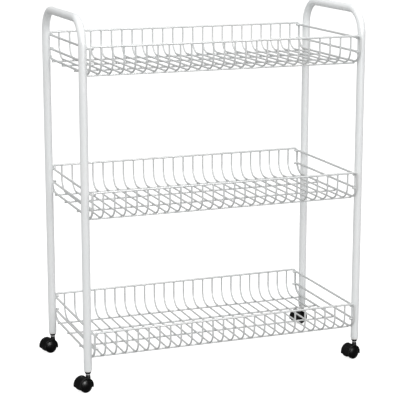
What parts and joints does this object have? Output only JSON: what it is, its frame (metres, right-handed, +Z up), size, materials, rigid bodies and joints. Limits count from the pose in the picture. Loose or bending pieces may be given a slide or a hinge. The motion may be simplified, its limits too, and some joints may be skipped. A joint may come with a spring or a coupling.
{
  "type": "rolling utility cart",
  "caption": "Rolling utility cart with tiered wire baskets held between bent-tube end frames whose tops form the handles, on swivelling casters.",
  "frame": {"origin": "on the floor, at the middle of the plan outline with the casters trailing left as at rest, 11 mm left of the middle of the frame", "axes": "+X along the cart to its right end, +Y from the front to the back, +Z up"},
  "size_m": [0.699, 0.3381, 0.8278],
  "materials": {
    "tube_powder_coat": "satin white powder coat",
    "wire_powder_coat": "satin white powder coat on wire",
    "socket_plastic": "moulded white plastic",
    "black_plastic": "moulded black nylon, satin",
    "wheel_plastic": "moulded black nylon, polished",
    "stem_steel": "zinc-plated steel, bright",
    "axle_steel": "turned steel"
  },
  "bodies": {
    "root": {"back_left_caster_stem": "stem_steel", "back_left_leg_socket": "socket_plastic", "back_left_stem_collar": "black_plastic", "back_right_caster_stem": "stem_steel", "back_right_leg_socket": "socket_plastic", "back_right_stem_collar": "black_plastic", "bottom_basket_cross_wires": "wire_powder_coat", "bottom_basket_floor_wires": "wire_powder_coat", "bottom_basket_perimeter_wire": "wire_powder_coat", "bottom_left_side_rails": "wire_powder_coat", "bottom_right_side_rails": "wire_powder_coat", "front_left_caster_stem": "stem_steel", "front_left_leg_socket": "socket_plastic", "front_left_stem_collar": "black_plastic", "front_right_caster_stem": "stem_steel", "front_right_leg_socket": "socket_plastic", "front_right_stem_collar": "black_plastic", "left_end_tube": "tube_powder_coat", "middle_basket_cross_wires": "wire_powder_coat", "middle_basket_floor_wires": "wire_powder_coat", "middle_basket_perimeter_wire": "wire_powder_coat", "middle_left_side_rails": "wire_powder_coat", "middle_right_side_rails": "wire_powder_coat", "right_end_tube": "tube_powder_coat", "top_basket_cross_wires": "wire_powder_coat", "top_basket_floor_wires": "wire_powder_coat", "top_basket_perimeter_wire": "wire_powder_coat", "top_left_side_rails": "wire_powder_coat", "top_right_side_rails": "wire_powder_coat"},
    "front_left_caster": {"front_left_caster_hood": "black_plastic", "front_left_caster_axle": "axle_steel"},
    "front_left_wheel_a": {"front_left_caster_wheel_a": "wheel_plastic"},
    "front_left_wheel_b": {"front_left_caster_wheel_b": "wheel_plastic"},
    "back_left_caster": {"back_left_caster_hood": "black_plastic", "back_left_caster_axle": "axle_steel"},
    "back_left_wheel_a": {"back_left_caster_wheel_a": "wheel_plastic"},
    "back_left_wheel_b": {"back_left_caster_wheel_b": "wheel_plastic"},
    "back_right_caster": {"back_right_caster_hood": "black_plastic", "back_right_caster_axle": "axle_steel"},
    "back_right_wheel_a": {"back_right_caster_wheel_a": "wheel_plastic"},
    "back_right_wheel_b": {"back_right_caster_wheel_b": "wheel_plastic"},
    "front_right_caster": {"front_right_caster_hood": "black_plastic", "front_right_caster_axle": "axle_steel"},
    "front_right_wheel_a": {"front_right_caster_wheel_a": "wheel_plastic"},
    "front_right_wheel_b": {"front_right_caster_wheel_b": "wheel_plastic"}
  },
  "joints": [
    {"name": "front_left_swivel", "type": "hinge", "parent": "root", "child": "front_left_caster", "pos_m": [-0.3166, -0.148, 0.0368], "axis": [0, 0, 1], "continuous": true},
    {"name": "front_left_roll_a", "type": "hinge", "parent": "front_left_caster", "child": "front_left_wheel_a", "pos_m": [-0.32801, -0.15138, 0.015], "axis": [0.284, -0.9588, 0], "continuous": true},
    {"name": "front_left_roll_b", "type": "hinge", "parent": "front_left_caster", "child": "front_left_wheel_b", "pos_m": [-0.32801, -0.15138, 0.015], "axis": [0.284, -0.9588, 0], "continuous": true},
    {"name": "back_left_swivel", "type": "hinge", "parent": "root", "child": "back_left_caster", "pos_m": [-0.3166, 0.148, 0.0368], "axis": [0, 0, 1], "continuous": true},
    {"name": "back_left_roll_a", "type": "hinge", "parent": "back_left_caster", "child": "back_left_wheel_a", "pos_m": [-0.32801, 0.14462, 0.015], "axis": [0.284, -0.9588, 0], "continuous": true},
    {"name": "back_left_roll_b", "type": "hinge", "parent": "back_left_caster", "child": "back_left_wheel_b", "pos_m": [-0.32801, 0.14462, 0.015], "axis": [0.284, -0.9588, 0], "continuous": true},
    {"name": "back_right_swivel", "type": "hinge", "parent": "root", "child": "back_right_caster", "pos_m": [0.3394, 0.148, 0.0368], "axis": [0, 0, 1], "continuous": true},
    {"name": "back_right_roll_a", "type": "hinge", "parent": "back_right_caster", "child": "back_right_wheel_a", "pos_m": [0.32799, 0.14462, 0.015], "axis": [0.284, -0.9588, 0], "continuous": true},
    {"name": "back_right_roll_b", "type": "hinge", "parent": "back_right_caster", "child": "back_right_wheel_b", "pos_m": [0.32799, 0.14462, 0.015], "axis": [0.284, -0.9588, 0], "continuous": true},
    {"name": "front_right_swivel", "type": "hinge", "parent": "root", "child": "front_right_caster", "pos_m": [0.3394, -0.148, 0.0368], "axis": [0, 0, 1], "continuous": true},
    {"name": "front_right_roll_a", "type": "hinge", "parent": "front_right_caster", "child": "front_right_wheel_a", "pos_m": [0.32799, -0.15138, 0.015], "axis": [0.284, -0.9588, 0], "continuous": true},
    {"name": "front_right_roll_b", "type": "hinge", "parent": "front_right_caster", "child": "front_right_wheel_b", "pos_m": [0.32799, -0.15138, 0.015], "axis": [0.284, -0.9588, 0], "continuous": true}
  ]
}
